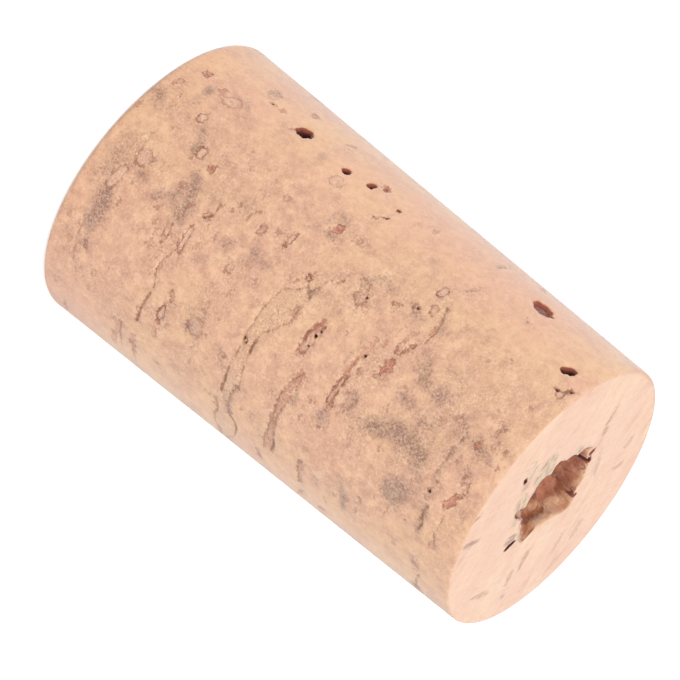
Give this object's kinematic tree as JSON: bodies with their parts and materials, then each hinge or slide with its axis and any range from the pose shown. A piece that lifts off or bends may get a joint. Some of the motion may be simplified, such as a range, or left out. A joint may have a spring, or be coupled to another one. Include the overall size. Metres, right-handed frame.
{
  "type": "flute head cork",
  "caption": "Tapered plug of natural cork with a hole for a stopper rod right through its middle, the mouth of the hole torn at the narrow end.",
  "frame": {"origin": "centre of the wide end, which the cork stands on", "axes": "+Z along the cork's axis from the wide end to the narrow end; -Y is the side shown in the reference view, +X is to the right seen from there"},
  "size_m": [0.018, 0.018, 0.0302],
  "materials": {
    "cork": "dry matte natural cork, fine grained, with reddish brown lenticels"
  },
  "bodies": {
    "root": {"cork": "cork"}
  },
  "joints": []
}
